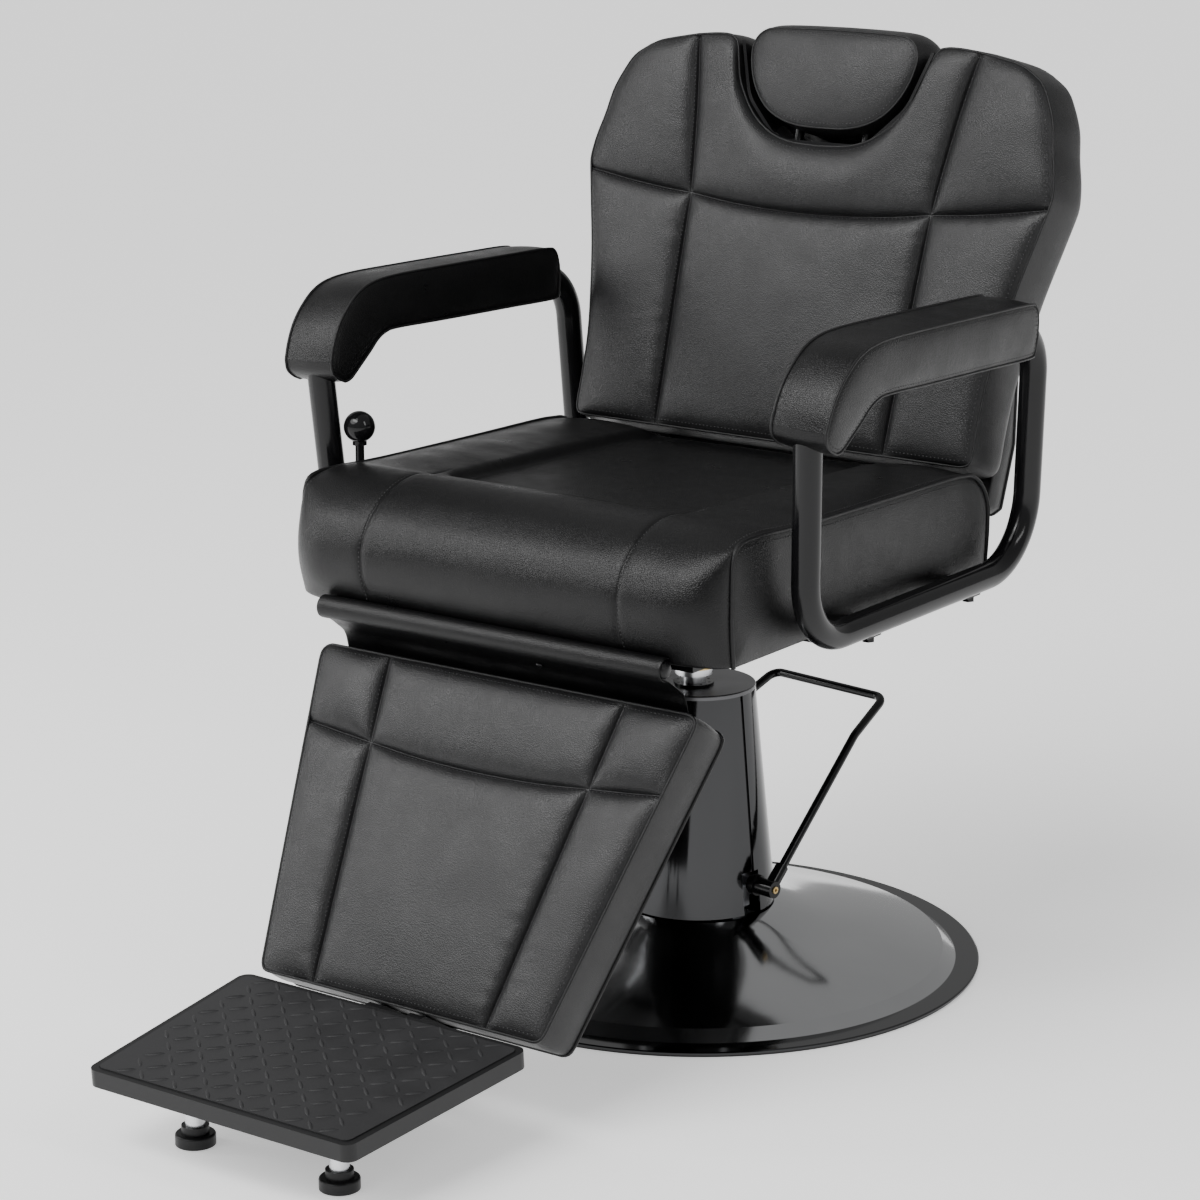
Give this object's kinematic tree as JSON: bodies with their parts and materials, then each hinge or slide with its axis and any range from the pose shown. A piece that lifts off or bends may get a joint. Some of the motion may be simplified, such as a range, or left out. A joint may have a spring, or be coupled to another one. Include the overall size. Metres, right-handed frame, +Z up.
{
  "type": "hydraulic barber chair",
  "caption": "Upholstered barber chair with reclining back, linked footrest, adjustable headrest and padded arms on a foot-pumped hydraulic swivel base.",
  "frame": {"origin": "centre of the round base on the floor, with the chair at its lowest height and the back upright", "axes": "+Z up, -Y towards the front where the sitter's legs go, +X towards the sitter's left arm"},
  "size_m": [0.7052, 1.1634, 1.0277],
  "materials": {
    "leatherette": "satin",
    "black_paint": "gloss",
    "base_chrome": "polished",
    "rod_chrome": "polished",
    "plain_steel": "satin",
    "bronze": "satin",
    "black_rubber": "matte",
    "gloss_black_plastic": "gloss",
    "plywood": "matte"
  },
  "bodies": {
    "base": {"base_floor_ring": "black_rubber", "base_dish": "base_chrome", "pump_flange": "plain_steel", "flange_bolts": "plain_steel", "hydraulic_cylinder": "plain_steel", "rod_guide_bush": "bronze", "column_front_cover": "base_chrome", "column_rear_cover": "base_chrome", "cover_seam_strips": "black_rubber", "column_cap": "base_chrome", "gland_nut": "gloss_black_plastic", "pump_spring": "plain_steel"},
    "pump_lever": {"pump_lever": "black_paint", "pump_rocker": "plain_steel", "hub_bushes": "bronze"},
    "pump_plunger": {"pump_plunger": "plain_steel"},
    "lift": {"ram": "rod_chrome", "ram_piston": "plain_steel", "ram_seal": "black_rubber", "thrust_washer": "bronze"},
    "seat": {"swivel_socket": "black_paint", "frame_bolts": "black_paint", "seat_subframe": "black_paint", "seat_board": "plywood", "seat_cushion": "leatherette", "arm_tube_left": "black_paint", "arm_tube_right": "black_paint", "arm_pad_left": "leatherette", "arm_pad_right": "leatherette", "gas_spring_cylinder": "black_paint", "recline_pins": "plain_steel", "footrest_pivot_rod": "plain_steel", "flap_roll": "leatherette", "leg_flap": "leatherette"},
    "recline_lever": {"recline_lever_shaft": "black_paint", "recline_lever_rod": "black_paint", "recline_knob": "gloss_black_plastic"},
    "release_rod": {"release_rod": "plain_steel"},
    "backrest": {"back_cushion": "leatherette", "back_board": "plywood", "back_rear_panel": "leatherette", "back_frame": "black_paint", "rear_lower_pad": "leatherette", "headrest_cradle": "gloss_black_plastic", "headrest_guide_tubes": "plain_steel"},
    "headrest": {"headrest_cushion": "leatherette", "headrest_posts": "black_paint"},
    "gas_rod": {"gas_spring_rod": "rod_chrome"},
    "links": {"link_bar": "black_paint"},
    "footrest": {"calf_pad": "leatherette", "calf_board": "plywood", "footrest_arms": "black_paint", "footplate_hinge_straps": "black_paint"},
    "footplate": {"footplate_tray": "black_paint", "footplate_tread": "black_rubber", "fold_pin": "rod_chrome"},
    "foot_left": {"foot_rod_left": "rod_chrome", "foot_pad_left": "gloss_black_plastic"},
    "foot_right": {"foot_rod_right": "rod_chrome", "foot_pad_right": "gloss_black_plastic"}
  },
  "joints": [
    {"name": "pump_pedal", "type": "hinge", "parent": "base", "child": "pump_lever", "pos_m": [0, 0, 0.104], "axis": [0.9903, -0.1392, 0], "range_deg": [-16, 0], "stiffness_Nm_per_rad": 20, "springref_deg": 17.19},
    {"name": "pump_stroke", "type": "slide", "parent": "base", "child": "pump_plunger", "axis": [0, 0, 1], "range_m": [-0.0138, 0], "deforming": ["pump_spring"]},
    {"name": "height_lift", "type": "slide", "parent": "base", "child": "lift", "axis": [0, 0, 1], "range_m": [0, 0.15]},
    {"name": "seat_swivel", "type": "hinge", "parent": "lift", "child": "seat", "pos_m": [0, -0.0045, 0.38], "axis": [0, 0, 1], "continuous": true},
    {"name": "recline_handle", "type": "hinge", "parent": "seat", "child": "recline_lever", "pos_m": [-0.2808, -0.245, 0.44], "axis": [-1, 0, 0], "range_deg": [0, 20], "stiffness_Nm_per_rad": 2, "springref_deg": -20.05},
    {"name": "valve_pull", "type": "slide", "parent": "seat", "child": "release_rod", "axis": [0, -1, 0], "range_m": [0, 0.0099]},
    {"name": "recline", "type": "hinge", "parent": "seat", "child": "backrest", "pos_m": [0, 0.185, 0.468], "axis": [-1, 0, 0], "range_deg": [0, 35]},
    {"name": "gas_spring_travel", "type": "slide", "parent": "seat", "child": "gas_rod", "axis": [0, -1, 0], "range_m": [0, 0.035]},
    {"name": "link_travel", "type": "slide", "parent": "seat", "child": "links", "axis": [0, -1, 0], "range_m": [0, 0.035]},
    {"name": "footrest_lift", "type": "hinge", "parent": "seat", "child": "footrest", "pos_m": [0, -0.33, 0.447], "axis": [-1, 0, 0], "range_deg": [0, 50.8]},
    {"name": "footplate_fold", "type": "hinge", "parent": "footrest", "child": "footplate", "pos_m": [0, -0.556, 0.095], "axis": [-1, 0, 0], "range_deg": [0, 95]},
    {"name": "foot_level_left", "type": "slide", "parent": "footplate", "child": "foot_left", "axis": [0, 0, 1], "range_m": [0, 0.008]},
    {"name": "foot_level_right", "type": "slide", "parent": "footplate", "child": "foot_right", "axis": [0, 0, 1], "range_m": [0, 0.008]},
    {"name": "headrest_height", "type": "slide", "parent": "backrest", "child": "headrest", "axis": [0, 0.3007, 0.9537], "range_m": [0, 0.07]}
  ],
  "couplings": [
    {"joint": "pump_stroke", "follows": "pump_pedal", "m_per_rad": 0.049},
    {"joint": "valve_pull", "follows": "recline_handle", "m_per_rad": 0.028},
    {"joint": "gas_spring_travel", "follows": "recline", "m_per_rad": 0.0571},
    {"joint": "link_travel", "follows": "recline", "m_per_rad": 0.0571},
    {"joint": "footrest_lift", "follows": "recline", "ratio": 1.45}
  ]
}
